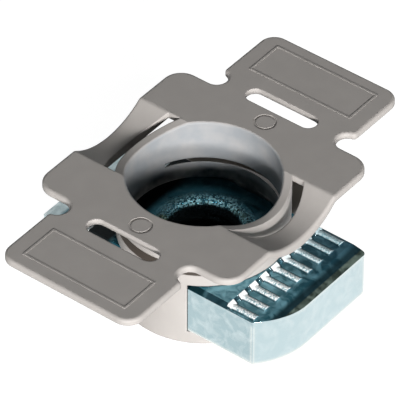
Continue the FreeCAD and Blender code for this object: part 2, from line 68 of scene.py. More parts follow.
def add_node(tree: bpy.types.NodeTree, kind: str, settings: dict[str, Any] | None = None,
             inputs: dict[str | int, Any] | None = None) -> bpy.types.Node:
    """Adds a node with its settings and links.

    A Mix node takes its share at input 0. Its two sides are inputs 2 and 3 for numbers, 4 and 5 for
    vectors and 6 and 7 for colours, and its result is output 0, 1 or 2.

    Args:
        tree: Node tree that takes the node.
        kind: Node type, without its "ShaderNode" head.
        settings: Attributes of the node.
        inputs: Input sockets by name or number, each with a value or the socket that feeds it.

    Returns:
        The new node.
    """
    node = tree.nodes.new("ShaderNode" + kind)
    for name, value in (settings or {}).items():
        setattr(node, name, value)
    for key, value in (inputs or {}).items():
        if isinstance(value, Socket):
            tree.links.new(value, node.inputs[key])
        else:
            node.inputs[key].default_value = value
    return node


def empty_material(name: str) -> tuple[bpy.types.Material, bpy.types.NodeTree]:
    """Makes a material whose node tree is empty.

    Args:
        name: Name of the material.

    Returns:
        The material and its node tree.
    """
    material = bpy.data.materials.new(name)
    material.use_nodes = True
    material.node_tree.nodes.clear()
    return material, material.node_tree


def place_on_piece(tree: bpy.types.NodeTree) -> tuple[Socket, Socket]:
    """Reads the place that is shaded.

    Args:
        tree: Node tree that takes the nodes.

    Returns:
        The place in millimetres and its distance from the hole's axis.
    """
    place = add_node(tree, "TexCoord").outputs["Object"]
    in_mm = add_node(tree, "VectorMath", {"operation": "SCALE"}, {0: place, "Scale": 1 / MM}).outputs[0]
    flat = add_node(tree, "VectorMath", {"operation": "MULTIPLY"}, {0: in_mm, 1: FLAT}).outputs[0]
    return in_mm, add_node(tree, "VectorMath", {"operation": "LENGTH"}, {0: flat}).outputs["Value"]


def oval_patch(tree: bpy.types.NodeTree, place: Socket, middle: tuple[float, float, float],
               half: tuple[float, float, float]) -> Socket:
    """Masks a soft-edged patch, nearly a rectangle with round corners.

    Args:
        tree: Node tree that takes the nodes.
        place: Coordinates that the patch lies in.
        middle: Middle of the patch.
        half: Half sizes of the patch.

    Returns:
        A socket that is 1 inside the patch and 0 outside.
    """
    off = add_node(tree, "VectorMath", {"operation": "SUBTRACT"}, {0: place, 1: middle}).outputs[0]
    share = add_node(tree, "VectorMath", {"operation": "DIVIDE"}, {0: off, 1: half}).outputs[0]
    square = add_node(tree, "VectorMath", {"operation": "MULTIPLY"}, {0: share, 1: share}).outputs[0]
    fourth = add_node(tree, "VectorMath", {"operation": "DOT_PRODUCT"},
                      {0: square, 1: square}).outputs["Value"]
    return add_node(tree, "MapRange", {"interpolation_type": "SMOOTHSTEP"},
                    {"Value": fourth, "From Min": PATCH_RIM[0],
                     "From Max": PATCH_RIM[1]}).outputs[0]


@dataclass(frozen=True)
class MouldedPolyamide:
    """Grey polyamide from a spark-eroded mould: satin, a little mottled, soft at every edge."""

    # Colours of the plate and of the bore's wall, and of the painted shade low on that wall and in the
    # slits
    body: str = "#9B9692"
    mottle: str = "#A49F9B"
    bore: str = "#86898C"
    painted_shade_colour: str = "#171C1E"
    slit_shade: str = "#3A322B"
    # Radii where the bore's wall ends, heights where the painted shade ends, middle and half width of
    # the slits
    bore_mm: tuple[float, float] = (9.72, 9.95)
    painted_shade_mm: tuple[float, float] = (11.75, 10.5)
    slit_radius_mm: tuple[float, float] = (10.3, 0.48)
    slit_height_mm: tuple[float, float] = (11.85, 0.95)
    # Mottle and grain: a span is the stretch of a noise that shows, a share how strongly it shows
    mottle_mm: float = 3.0
    mottle_detail: float = 3.0
    mottle_span: tuple[float, float] = (0.4, 0.75)
    mottle_share: float = 0.5
    grain_mm: float = 0.22
    grain_detail: float = 2.0
    grain_height_mm: float = 0.006
    grain_strength: float = 0.6
    # Soft edges, and the middle and half sizes of what stays crisp, as it lies at +X
    edge_mm: float = 0.22
    panel_mm: tuple[float, float, float] = (22.35, 0.0, 18.4)
    panel_half_mm: tuple[float, float, float] = (4.3, 10.0, 1.0)
    panel_share: float = 0.55
    mark_mm: tuple[float, float, float] = (12.4, 0.0, 18.4)
    mark_half_mm: tuple[float, float, float] = (2.0, 2.0, 1.0)
    # Gloss
    gloss_span: tuple[float, float] = (0.3, 0.7)
    roughness: tuple[float, float] = (0.58, 0.70)
    ior: float = 1.53

    def material(self) -> bpy.types.Material:
        """Builds the finish: cooler and darker in the bore, with painted shade low on its wall and in
        the slits, faintly mottled, with a grain that breaks the gloss.

        Returns:
            The holder's material.
        """
        material, tree = empty_material("grey polyamide, satin moulded")
        in_mm, off_axis = place_on_piece(tree)
        # The bore's wall is painted a little cooler and darker: painted shade in the bore, with a
        # painted cool tint for the light that the nut throws back.
        beyond = add_node(tree, "MapRange", None,
                          {"Value": off_axis, "From Min": self.bore_mm[0],
                           "From Max": self.bore_mm[1]}).outputs[0]
        # The wall is painted dark below the slits: painted shade, where the near rim keeps the lamps'
        # light out.
        height = add_node(tree, "SeparateXYZ", None, {0: in_mm}).outputs[2]
        low_on_wall = add_node(tree, "MapRange", {"interpolation_type": "SMOOTHSTEP"},
                         {"Value": height, "From Min": self.painted_shade_mm[0],
                          "From Max": self.painted_shade_mm[1]}).outputs[0]
        wall = add_node(tree, "Mix", {"data_type": "RGBA"},
                        {0: low_on_wall, 6: linear(self.bore), 7: linear(self.painted_shade_colour)}).outputs[2]
        grey = add_node(tree, "Mix", {"data_type": "RGBA"},
                        {0: beyond, 6: wall, 7: linear(self.body)}).outputs[2]
        cloud = add_node(tree, "TexNoise", None,
                         {"Vector": in_mm, "Scale": 1 / self.mottle_mm,
                          "Detail": self.mottle_detail}).outputs[0]
        patch = add_node(tree, "MapRange", None,
                         {"Value": cloud, "From Min": self.mottle_span[0],
                          "From Max": self.mottle_span[1], "To Max": self.mottle_share}).outputs[0]
        mottled = add_node(tree, "Mix", {"data_type": "RGBA"},
                           {0: patch, 6: grey, 7: linear(self.mottle)}).outputs[2]
        # The slits' walls are painted dark brown: painted shade inside the slits.
        in_wall = add_node(tree, "Math", {"operation": "COMPARE"},
                           {0: off_axis, 1: self.slit_radius_mm[0],
                            2: self.slit_radius_mm[1]}).outputs[0]
        at_slit = add_node(tree, "Math", {"operation": "COMPARE"},
                           {0: height, 1: self.slit_height_mm[0],
                            2: self.slit_height_mm[1]}).outputs[0]
        in_slit_shade = add_node(tree, "Math", {"operation": "MULTIPLY"}, {0: in_wall, 1: at_slit}).outputs[0]
        colour = add_node(tree, "Mix", {"data_type": "RGBA"},
                          {0: in_slit_shade, 6: mottled, 7: linear(self.slit_shade)}).outputs[2]
        # Spark-eroded grain is about 0.05 mm; it is drawn coarser here so that it shows at all.
        grain = add_node(tree, "TexNoise", None,
                         {"Vector": in_mm, "Scale": 1 / self.grain_mm,
                          "Detail": self.grain_detail}).outputs[0]
        gloss = add_node(tree, "MapRange", None,
                         {"Value": cloud, "From Min": self.gloss_span[0], "From Max": self.gloss_span[1],
                          "To Min": self.roughness[0], "To Max": self.roughness[1]}).outputs[0]
        bump = add_node(tree, "Bump", None,
                        {"Height": grain, "Distance": self.grain_height_mm * MM,
                         "Strength": self.grain_strength,
                         "Normal": self.edges(tree, in_mm)}).outputs[0]
        shader = add_node(tree, "BsdfPrincipled", None,
                          {"Base Color": colour, "Roughness": gloss, "IOR": self.ior, "Normal": bump})
        add_node(tree, "OutputMaterial", None, {"Surface": shader.outputs[0]})
        return material

    def edges(self, tree: bpy.types.NodeTree, in_mm: Socket) -> Socket:
        """Softens every edge but the fine line round a panel and the round marks, which stay crisp.

        Args:
            tree: Node tree of the finish.
            in_mm: Place on the holder in millimetres.

        Returns:
            The softened normal.
        """
        folded = add_node(tree, "VectorMath", {"operation": "ABSOLUTE"}, {0: in_mm}).outputs[0]
        panel = oval_patch(tree, folded, self.panel_mm, self.panel_half_mm)
        mark = oval_patch(tree, folded, self.mark_mm, self.mark_half_mm)
        crisp = add_node(tree, "Math", {"operation": "MAXIMUM"}, {0: panel, 1: mark}).outputs[0]
        soft = add_node(tree, "Bevel", {"samples": EDGE_SAMPLES},
                        {"Radius": self.edge_mm * MM}).outputs[0]
        plain = add_node(tree, "NewGeometry").outputs["Normal"]
        # The line round the panel is only scratched into the mould, so its walls lean towards the flat.
        worn = add_node(tree, "Math", {"operation": "MULTIPLY"},
                        {0: panel, 1: self.panel_share}).outputs[0]
        leaning = add_node(tree, "Mix", {"data_type": "VECTOR"},
                           {0: worn, 4: plain, 5: UP}).outputs[1]
        return add_node(tree, "Mix", {"data_type": "VECTOR"}, {0: crisp, 4: soft, 5: leaning}).outputs[1]


@dataclass(frozen=True)
class BrightZincPlating:
    """Blue-passivated zinc on pressed steel: bright sides, a blue film above painted dark, matt pressed
    ends, with painted shade, reflections and glints.
    """

    # Colours of the sides, of the film with its painted shades and highlights, of the bitten ridges and
    # of the hole's painted shade
    rolled: str = "#A9BFC4"
    sheared: str = "#C0D3D7"
    cloud: str = "#D2DFE1"
    corner_highlight: str = "#F2F3EE"
    film_and_shade: str = "#376F7E"
    shaded_film: str = "#1F4A5C"
    worn_film: str = "#93C3CF"
    gutter_shade: str = "#1B3A43"
    brow_dark: str = "#434F48"
    brow_worn: str = "#66746B"
    bare_and_highlight: str = "#F3F6F6"
    pit: str = "#7FA6B0"
    glint_colour: str = "#BDF5FF"
    iridescence: str = "#8C9468"
    dark_shade: str = "#12191B"
    # Noises: a span is the stretch of a noise that shows, a share how strongly it shows
    cloud_mm: float = 1.6
    cloud_detail: float = 4.0
    cloud_swirl: float = 0.6
    cloud_span: tuple[float, float] = (0.42, 0.70)
    cloud_share: float = 0.7
    uneven_span: tuple[float, float] = (0.5, 0.75)
    uneven_share: float = 0.3
    wear_mm: float = 1.2
    wear_detail: float = 3.0
    wear_swirl: float = 0.8
    wear_span: tuple[float, float] = (0.40, 0.62)
    stain_mm: float = 4.5
    stain_detail: float = 1.0
    stain_span: tuple[float, float] = (0.48, 0.62)
    stain_share: float = 0.8
    speckle_mm: float = 0.24
    speckle_detail: float = 1.0
    speckle_span: tuple[float, float] = (0.44, 0.64)
    # Painted glints on crystals round the hole: width, chance to glint, and the side where more are
    # painted, with its stretch and least share
    glint_mm: float = 0.2
    glint_chance: tuple[float, float] = (0.52, 0.66)
    glint_side: tuple[float, float, float] = (0.94, 0.32, 0.0)
    glint_side_mm: tuple[float, float] = (-1.0, 5.0)
    glint_side_least: float = 0.2
    # Relief of crystals, of the turned rings round the hole and of the edges
    speckle_height_mm: float = 0.035
    mouth_share: float = 4.5
    ring_pitch_mm: float = 0.55
    ring_height_mm: float = 0.012
    edge_mm: float = 0.12
    # Roughness and metal share of the bright, the dull and the bitten skin
    gloss_span: tuple[float, float] = (0.35, 0.7)
    gloss: tuple[float, float] = (0.10, 0.26)
    dull: tuple[float, float] = (0.34, 0.75)
    dull_metal: float = 0.75
    bite_roughness: float = 0.5
    bite_metal: float = 0.2
    # Parts of the normal at which a face counts as an upper face, as an end face and as a slope
    upper_face: tuple[float, float] = (0.05, 0.3)
    end_face: tuple[float, float] = (0.3, 0.75)
    slope: tuple[float, float] = (0.93, 0.86)
    # Painted highlight on the corners: width, likeness of soft and plain normal, heights where it begins
    corner_mm: float = 0.9
    corner_likeness: tuple[float, float] = (0.998, 0.96)
    corner_top_mm: tuple[float, float] = (8.5, 7.9)
    # Wear of the film on ridges and apron, its share at +Y, which keeps that end painted darker, and the
    # painted shade towards +X: where it begins and is full, how much it greys the ridges and how much
    # wear it spares
    worn_ridges: tuple[float, float] = (0.15, 0.8)
    worn_apron: tuple[float, float] = (0.0, 0.45)
    darker_far_share: float = 0.35
    dimmer_toward_x_mm: tuple[float, float] = (-2.0, 9.0)
    dimmer_pit_share: float = 0.7
    dimmer_wear_share: float = 0.25
    # Distances from the hole's axis at which a zone begins and is full
    dimple_mm: tuple[float, float] = (7.0, 5.0)
    hole_shade_mm: tuple[float, float] = (5.2, 4.9)
    cage_mm: tuple[float, float] = (10.6, 11.2)
    # Places along the bar at which a zone begins and is full
    ends_mm: tuple[float, float] = (7.0, 8.0)
    beside_cage_mm: tuple[float, float] = (12.6, 11.8)
    apron_mm: tuple[float, float] = (14.7, 15.6)
    pale_end_mm: tuple[float, float] = (15.4, 16.4)
    gutter_mm: tuple[float, float] = (15.9, 16.7)
    brow_mm: tuple[float, float] = (17.2, 17.4)
    # Ridges and their wide heads on the land
    land_half_length_mm: float = 10.95
    head_length_mm: float = 0.55
    head_half_mm: float = 0.62
    ridge_pitch_mm: float = 2.17
    ridge_half_mm: float = 0.44
    ridge_rim_mm: float = 0.05
    ridge_foot_mm: tuple[float, float] = (8.97, 9.03)

    def material(self) -> bpy.types.Material:
        """Builds the finish: plated sides, a film painted dark on the upper faces, bitten ridges, the
        hole painted near black.

        Returns:
            The material of the bar and its thread.
        """
        material, tree = empty_material("bright zinc plating on pressed steel")
        in_mm, off_axis = place_on_piece(tree)
        near_hole = add_node(tree, "MapRange", None,
                             {"Value": off_axis, "From Min": self.dimple_mm[0],
                              "From Max": self.dimple_mm[1]}).outputs[0]
        # Plating follows the steel's own skin, which leaves pale clouds a millimetre or two wide.
        cloud = add_node(tree, "TexNoise", None,
                         {"Vector": in_mm, "Scale": 1 / self.cloud_mm, "Detail": self.cloud_detail,
                          "Distortion": self.cloud_swirl}).outputs[0]
        # Handling wears the film beyond the cage into dull pale patches.
        wear = add_node(tree, "TexNoise", None,
                        {"Vector": in_mm, "Scale": 1 / self.wear_mm, "Detail": self.wear_detail,
                         "Distortion": self.wear_swirl}).outputs[0]
        worn = add_node(tree, "MapRange", None,
                        {"Value": wear, "From Min": self.wear_span[0],
                         "From Max": self.wear_span[1]}).outputs[0]
        normal = add_node(tree, "NewGeometry").outputs["Normal"]
        facing = add_node(tree, "SeparateXYZ", None, {0: normal}).outputs
        upper = add_node(tree, "MapRange", {"interpolation_type": "SMOOTHSTEP"},
                         {"Value": facing[2], "From Min": self.upper_face[0],
                          "From Max": self.upper_face[1]}).outputs[0]
        axes = add_node(tree, "SeparateXYZ", None, {0: in_mm}).outputs
        half_way = add_node(tree, "Math", {"operation": "ABSOLUTE"}, {0: axes[1]}).outputs[0]
        uncaged = add_node(tree, "MapRange", {"interpolation_type": "SMOOTHSTEP"},
                           {"Value": off_axis, "From Min": self.cage_mm[0],
                            "From Max": self.cage_mm[1]}).outputs[0]
        at_ends = add_node(tree, "MapRange", {"interpolation_type": "SMOOTHSTEP"},
                           {"Value": half_way, "From Min": self.ends_mm[0],
                            "From Max": self.ends_mm[1]}).outputs[0]
        outside = add_node(tree, "Math", {"operation": "MULTIPLY"}, {0: uncaged, 1: at_ends}).outputs[0]
        pressed = add_node(tree, "Math", {"operation": "MULTIPLY"}, {0: upper, 1: outside}).outputs[0]
        along = add_node(tree, "MapRange", None,
                         {"Value": half_way,
                          "From Min": self.land_half_length_mm + self.head_length_mm,
                          "From Max": self.land_half_length_mm + 2 * self.head_length_mm}).outputs[0]
        ridged = self.ridge_mask(tree, in_mm, along)

        sides = self.side_colour(tree, normal, axes[2], cloud)
        # The ends are painted darker towards +X: greyer ridges and a darker, less worn film there, as
        # painted shade.
        dimmer_toward_x = add_node(tree, "MapRange", None,
                          {"Value": axes[0], "From Min": self.dimmer_toward_x_mm[0],
                           "From Max": self.dimmer_toward_x_mm[1]}).outputs[0]
        film_and_shade = self.film_colour(tree, axes[1], facing[2], outside, dimmer_toward_x, worn, cloud)
        # The upper faces are painted darker than the sides: the blue film, deepened as a painted dark
        # reflection.
        skin = add_node(tree, "Mix", {"data_type": "RGBA"}, {0: upper, 6: sides, 7: film_and_shade}).outputs[2]
        stained = self.hole_colour(tree, in_mm, off_axis, near_hole, skin)
        bare = self.bite_colour(tree, in_mm, along, dimmer_toward_x)
        # Crystals round the hole are painted pale: painted glints.
        painted_glints = self.painted_glint_mask(tree, in_mm, off_axis, near_hole)
        with_glints = add_node(tree, "Mix", {"data_type": "RGBA"},
                          {0: painted_glints, 6: stained, 7: linear(self.glint_colour)}).outputs[2]
        colour = add_node(tree, "Mix", {"data_type": "RGBA"}, {0: ridged, 6: with_glints, 7: bare}).outputs[2]
        grainy = add_node(tree, "Math", {"operation": "MAXIMUM"}, {0: ridged, 1: painted_glints}).outputs[0]

        gloss = add_node(tree, "MapRange", None,
                         {"Value": cloud, "From Min": self.gloss_span[0], "From Max": self.gloss_span[1],
                          "To Min": self.gloss[0], "To Max": self.gloss[1]}).outputs[0]
        matt = add_node(tree, "Mix", None, {0: worn, 2: self.dull[0], 3: self.dull[1]}).outputs[0]
        skin_gloss = add_node(tree, "Mix", None, {0: pressed, 2: gloss, 3: matt}).outputs[0]
        roughness = add_node(tree, "Mix", None,
                             {0: grainy, 2: skin_gloss, 3: self.bite_roughness}).outputs[0]
        skin_metal = add_node(tree, "Mix", None, {0: pressed, 2: 1.0, 3: self.dull_metal}).outputs[0]
        metal = add_node(tree, "Mix", None, {0: grainy, 2: skin_metal, 3: self.bite_metal}).outputs[0]
        mouth = add_node(tree, "Math", {"operation": "MULTIPLY"},
                         {0: near_hole, 1: self.mouth_share}).outputs[0]
        bitten = add_node(tree, "Math", {"operation": "MAXIMUM"}, {0: ridged, 1: mouth}).outputs[0]
        shader = add_node(tree, "BsdfPrincipled", None,
                          {"Base Color": colour, "Metallic": metal, "Roughness": roughness,
                           "Normal": self.relief(tree, in_mm, off_axis, near_hole, bitten)})
        add_node(tree, "OutputMaterial", None, {"Surface": shader.outputs[0]})
        return material

    def side_colour(self, tree: bpy.types.NodeTree, normal: Socket, height: Socket,
                    cloud: Socket) -> Socket:
        """Colours the sides: rolled along the bar, sheared brighter at its ends, with a painted
        highlight on the corners.

        Args:
            tree: Node tree of the finish.
            normal: The surface's plain normal.
            height: Height above the floor in millimetres.
            cloud: Noise that the plating's clouds follow.

        Returns:
            The colour of the sides.
        """
        facing = add_node(tree, "SeparateXYZ", None, {0: normal}).outputs
        endwise = add_node(tree, "Math", {"operation": "ABSOLUTE"}, {0: facing[1]}).outputs[0]
        cut = add_node(tree, "MapRange", {"interpolation_type": "SMOOTHSTEP"},
                       {"Value": endwise, "From Min": self.end_face[0],
                        "From Max": self.end_face[1]}).outputs[0]
        steel = add_node(tree, "Mix", {"data_type": "RGBA"},
                         {0: cut, 6: linear(self.rolled), 7: linear(self.sheared)}).outputs[2]
        patch = add_node(tree, "MapRange", None,
                         {"Value": cloud, "From Min": self.cloud_span[0],
                          "From Max": self.cloud_span[1], "To Max": self.cloud_share}).outputs[0]
        plated = add_node(tree, "Mix", {"data_type": "RGBA"},
                          {0: patch, 6: steel, 7: linear(self.cloud)}).outputs[2]
        # Where a softened normal leaves the plain one there is an edge, and it is painted bright: a
        # painted highlight on the rounded corner.
        soft = add_node(tree, "Bevel", {"samples": EDGE_SAMPLES},
                        {"Radius": self.corner_mm * MM}).outputs[0]
        alike = add_node(tree, "VectorMath", {"operation": "DOT_PRODUCT"},
                         {0: soft, 1: normal}).outputs["Value"]
        edge = add_node(tree, "MapRange", None,
                        {"Value": alike, "From Min": self.corner_likeness[0],
                         "From Max": self.corner_likeness[1]}).outputs[0]
        below_top = add_node(tree, "MapRange", None,
                             {"Value": height, "From Min": self.corner_top_mm[0],
                              "From Max": self.corner_top_mm[1]}).outputs[0]
        highlit_corner = add_node(tree, "Math", {"operation": "MULTIPLY"}, {0: edge, 1: below_top}).outputs[0]
        return add_node(tree, "Mix", {"data_type": "RGBA"},
                        {0: highlit_corner, 6: plated, 7: linear(self.corner_highlight)}).outputs[2]

    def film_colour(self, tree: bpy.types.NodeTree, along: Socket, upward: Socket, outside: Socket,
                    dimmer_toward_x: Socket, worn: Socket, cloud: Socket) -> Socket:
        """Colours the upper faces: a blue film painted dark, worn pale beyond the cage, with painted
        shade, a painted reflection and a darker band at the brow.

        Args:
            tree: Node tree of the finish.
            along: Place along the bar in millimetres.
            upward: Share by which the surface looks up.
            outside: Share by which the place is outside the cage.
            dimmer_toward_x: Share of the painted shade towards +X, which keeps the film darker and less
                worn.
            worn: Noise by which the film is worn.
            cloud: Noise that the plating's clouds follow.

        Returns:
            The colour of the upper faces.
        """
        half_way = add_node(tree, "Math", {"operation": "ABSOLUTE"}, {0: along}).outputs[0]
        uneven = add_node(tree, "MapRange", None,
                          {"Value": cloud, "From Min": self.uneven_span[0],
                           "From Max": self.uneven_span[1], "To Max": self.uneven_share}).outputs[0]
        on_ridges = add_node(tree, "Mix", None,
                             {0: worn, 2: self.worn_ridges[0], 3: self.worn_ridges[1]}).outputs[0]
        on_apron = add_node(tree, "Mix", None,
                            {0: worn, 2: self.worn_apron[0], 3: self.worn_apron[1]}).outputs[0]
        apron = add_node(tree, "MapRange", {"interpolation_type": "SMOOTHSTEP"},
                         {"Value": half_way, "From Min": self.apron_mm[0],
                          "From Max": self.apron_mm[1]}).outputs[0]
        handled = add_node(tree, "Mix", None, {0: apron, 2: on_ridges, 3: on_apron}).outputs[0]
        # The film at the end at +Y is worn less and stays darker: a painted dark reflection of the
        # plate's underside.
        far_end = add_node(tree, "MapRange", None,
                           {"Value": along, "From Min": self.ends_mm[0],
                            "From Max": self.ends_mm[1]}).outputs[0]
        end_share = add_node(tree, "Mix", None, {0: far_end, 2: 1.0, 3: self.darker_far_share}).outputs[0]
        # Towards +X the film is painted darker and less worn: painted shade.
        side_share = add_node(tree, "Mix", None, {0: dimmer_toward_x, 2: 1.0, 3: self.dimmer_wear_share}).outputs[0]
        rubbing = add_node(tree, "Math", {"operation": "MULTIPLY"},
                           {0: end_share, 1: side_share}).outputs[0]
        wear = add_node(tree, "Math", {"operation": "MULTIPLY"}, {0: handled, 1: rubbing}).outputs[0]
        share = add_node(tree, "Mix", None, {0: outside, 2: uneven, 3: wear}).outputs[0]
        shaded_film_share = add_node(tree, "Math", {"operation": "MULTIPLY"}, {0: dimmer_toward_x, 1: outside}).outputs[0]
        fresh = add_node(tree, "Mix", {"data_type": "RGBA"},
                         {0: shaded_film_share, 6: linear(self.film_and_shade), 7: linear(self.shaded_film)}).outputs[2]
        blue = add_node(tree, "Mix", {"data_type": "RGBA"},
                        {0: share, 6: fresh, 7: linear(self.worn_film)}).outputs[2]
        # The gutter before the brow is painted dark, a painted shade in the groove; the brow itself gets
        # a darker colour.
        in_gutter = add_node(tree, "MapRange", {"interpolation_type": "SMOOTHSTEP"},
                          {"Value": half_way, "From Min": self.gutter_mm[0],
                           "From Max": self.gutter_mm[1]}).outputs[0]
        # The ridges' flanks and the long bevels are painted dark as well: painted shade on the slopes.
        slope = add_node(tree, "MapRange", None,
                         {"Value": upward, "From Min": self.slope[0],
                          "From Max": self.slope[1]}).outputs[0]
        shaded_slope = add_node(tree, "Math", {"operation": "MULTIPLY"}, {0: slope, 1: outside}).outputs[0]
        dark_places = add_node(tree, "Math", {"operation": "MAXIMUM"}, {0: in_gutter, 1: shaded_slope}).outputs[0]
        deep = add_node(tree, "Mix", {"data_type": "RGBA"},
                        {0: dark_places, 6: blue, 7: linear(self.gutter_shade)}).outputs[2]
        # The brow is a darker olive band, paler where the film is worn.
        brow_tone = add_node(tree, "Mix", {"data_type": "RGBA"},
                         {0: worn, 6: linear(self.brow_dark), 7: linear(self.brow_worn)}).outputs[2]
        brow = add_node(tree, "MapRange", None,
                        {"Value": half_way, "From Min": self.brow_mm[0],
                         "From Max": self.brow_mm[1]}).outputs[0]
        dark = add_node(tree, "Mix", {"data_type": "RGBA"}, {0: brow, 6: deep, 7: brow_tone}).outputs[2]
        # The land at +Y beside the cage is painted near black: a painted dark reflection of the strip's
        # underside above it.
        beside_cage = add_node(tree, "MapRange", {"interpolation_type": "SMOOTHSTEP"},
                          {"Value": along, "From Min": self.beside_cage_mm[0],
                           "From Max": self.beside_cage_mm[1]}).outputs[0]
        shaded_land = add_node(tree, "Math", {"operation": "MULTIPLY"}, {0: beside_cage, 1: far_end}).outputs[0]
        painted_shade_colour = add_node(tree, "Mix", {"data_type": "RGBA"},
                        {0: shaded_land, 6: dark, 7: linear(self.dark_shade)}).outputs[2]
        # The top at the end at +Y is painted pale, in the clouds' colour: a painted reflection of the
        # bright backdrop.
        pale_end = add_node(tree, "MapRange", {"interpolation_type": "SMOOTHSTEP"},
                        {"Value": along, "From Min": self.pale_end_mm[0],
                         "From Max": self.pale_end_mm[1]}).outputs[0]
        return add_node(tree, "Mix", {"data_type": "RGBA"},
                        {0: pale_end, 6: painted_shade_colour, 7: linear(self.cloud)}).outputs[2]

    def hole_colour(self, tree: bpy.types.NodeTree, in_mm: Socket, off_axis: Socket, near_hole: Socket,
                    skin: Socket) -> Socket:
        """Stains the skin round the hole, and paints the thread near black as painted shade.

        Args:
            tree: Node tree of the finish.
            in_mm: Place on the bar in millimetres.
            off_axis: Distance from the hole's axis.
            near_hole: Share by which the place belongs to the hole's mouth.
            skin: Colour of the bar without the hole.

        Returns:
            The stained colour.
        """
        patches = add_node(tree, "TexNoise", None,
                           {"Vector": in_mm, "Scale": 1 / self.stain_mm,
                            "Detail": self.stain_detail}).outputs[0]
        thin = add_node(tree, "MapRange", None,
                        {"Value": patches, "From Min": self.stain_span[0],
                         "From Max": self.stain_span[1], "To Max": self.stain_share}).outputs[0]
        stain = add_node(tree, "Math", {"operation": "MULTIPLY"}, {0: thin, 1: near_hole}).outputs[0]
        tinged = add_node(tree, "Mix", {"data_type": "RGBA"},
                          {0: stain, 6: skin, 7: linear(self.iridescence)}).outputs[2]
        # The hole inside the countersink is painted near black: painted shade.
        in_hole_shade = add_node(tree, "MapRange", None,
                         {"Value": off_axis, "From Min": self.hole_shade_mm[0],
                          "From Max": self.hole_shade_mm[1]}).outputs[0]
        return add_node(tree, "Mix", {"data_type": "RGBA"},
                        {0: in_hole_shade, 6: tinged, 7: linear(self.dark_shade)}).outputs[2]

    def painted_glint_mask(self, tree: bpy.types.NodeTree, in_mm: Socket, off_axis: Socket,
                   near_hole: Socket) -> Socket:
        """Picks the single crystals round the hole that are painted pale, as painted glints of the light
        from above.

        Args:
            tree: Node tree of the finish.
            in_mm: Place on the bar in millimetres.
            off_axis: Distance from the hole's axis.
            near_hole: Share by which the place belongs to the hole's mouth.

        Returns:
            A socket that is 1 on a glinting crystal and 0 elsewhere.
        """
        # As in the relief, the crystals are drawn coarser than they are, so that they show.
        cells = add_node(tree, "TexVoronoi", None,
                         {"Vector": in_mm, "Scale": 1 / self.glint_mm}).outputs["Color"]
        chance = add_node(tree, "SeparateXYZ", None, {0: cells}).outputs[0]
        picked = add_node(tree, "MapRange", None,
                          {"Value": chance, "From Min": self.glint_chance[0],
                           "From Max": self.glint_chance[1]}).outputs[0]
        rim = add_node(tree, "MapRange", None,
                       {"Value": off_axis, "From Min": self.hole_shade_mm[1],
                        "From Max": self.hole_shade_mm[0]}).outputs[0]
        at_mouth = add_node(tree, "Math", {"operation": "MULTIPLY"}, {0: near_hole, 1: rim}).outputs[0]
        # More glints are painted on one side of the hole: a painted highlight where that side catches
        # the light.
        toward = add_node(tree, "VectorMath", {"operation": "DOT_PRODUCT"},
                          {0: in_mm, 1: self.glint_side}).outputs["Value"]
        on_glint_side = add_node(tree, "MapRange", None,
                        {"Value": toward, "From Min": self.glint_side_mm[0], "From Max": self.glint_side_mm[1],
                         "To Min": self.glint_side_least}).outputs[0]
        glinting = add_node(tree, "Math", {"operation": "MULTIPLY"}, {0: picked, 1: on_glint_side}).outputs[0]
        return add_node(tree, "Math", {"operation": "MULTIPLY"}, {0: glinting, 1: at_mouth}).outputs[0]

    def ridge_mask(self, tree: bpy.types.NodeTree, in_mm: Socket, along: Socket) -> Socket:
        """Finds the ridges: each is a bitten band, wider at its root on the land.

        Args:
            tree: Node tree of the finish.
            in_mm: Place on the bar in millimetres.
            along: Share by which the place is past a ridge's root.

        Returns:
            A socket that is 1 on a ridge and 0 elsewhere.
        """
        axes = add_node(tree, "SeparateXYZ", None, {0: in_mm}).outputs
        half_way = add_node(tree, "Math", {"operation": "ABSOLUTE"}, {0: axes[1]}).outputs[0]
        beyond = add_node(tree, "MapRange", None,
                          {"Value": half_way, "From Min": self.land_half_length_mm - self.ridge_rim_mm,
                           "From Max": self.land_half_length_mm + self.ridge_rim_mm}).outputs[0]
        above = add_node(tree, "MapRange", None,
                         {"Value": axes[2], "From Min": self.ridge_foot_mm[0],
                          "From Max": self.ridge_foot_mm[1]}).outputs[0]
        off_ridge = add_node(tree, "Math", {"operation": "PINGPONG"},
                             {0: axes[0], 1: self.ridge_pitch_mm / 2}).outputs[0]
        half = add_node(tree, "Mix", None,
                        {0: along, 2: self.head_half_mm, 3: self.ridge_half_mm}).outputs[0]
        inside = add_node(tree, "Math", {"operation": "SUBTRACT"}, {0: half, 1: off_ridge}).outputs[0]
        on_ridge = add_node(tree, "MapRange", None,
                            {"Value": inside, "From Min": -self.ridge_rim_mm,
                             "From Max": self.ridge_rim_mm}).outputs[0]
        raised = add_node(tree, "Math", {"operation": "MULTIPLY"}, {0: above, 1: on_ridge}).outputs[0]
        return add_node(tree, "Math", {"operation": "MULTIPLY"}, {0: beyond, 1: raised}).outputs[0]

    def bite_colour(self, tree: bpy.types.NodeTree, in_mm: Socket, along: Socket,
                    dimmer_toward_x: Socket) -> Socket:
        """Colours the ridges: bitten bare by the dies, and painted a matt white as a painted highlight,
        with grey pits past the root.

        Args:
            tree: Node tree of the finish.
            in_mm: Place on the bar in millimetres.
            along: Share by which the place is past a ridge's root.
            dimmer_toward_x: Share of the painted shade towards +X, which greys the ridges.

        Returns:
            The colour of the ridges.
        """
        pits = add_node(tree, "TexNoise", None,
                        {"Vector": in_mm, "Scale": 1 / self.speckle_mm,
                         "Detail": self.speckle_detail}).outputs[0]
        pitted = add_node(tree, "MapRange", None,
                          {"Value": pits, "From Min": self.speckle_span[0],
                           "From Max": self.speckle_span[1]}).outputs[0]
        dotted = add_node(tree, "Math", {"operation": "MULTIPLY"}, {0: along, 1: pitted}).outputs[0]
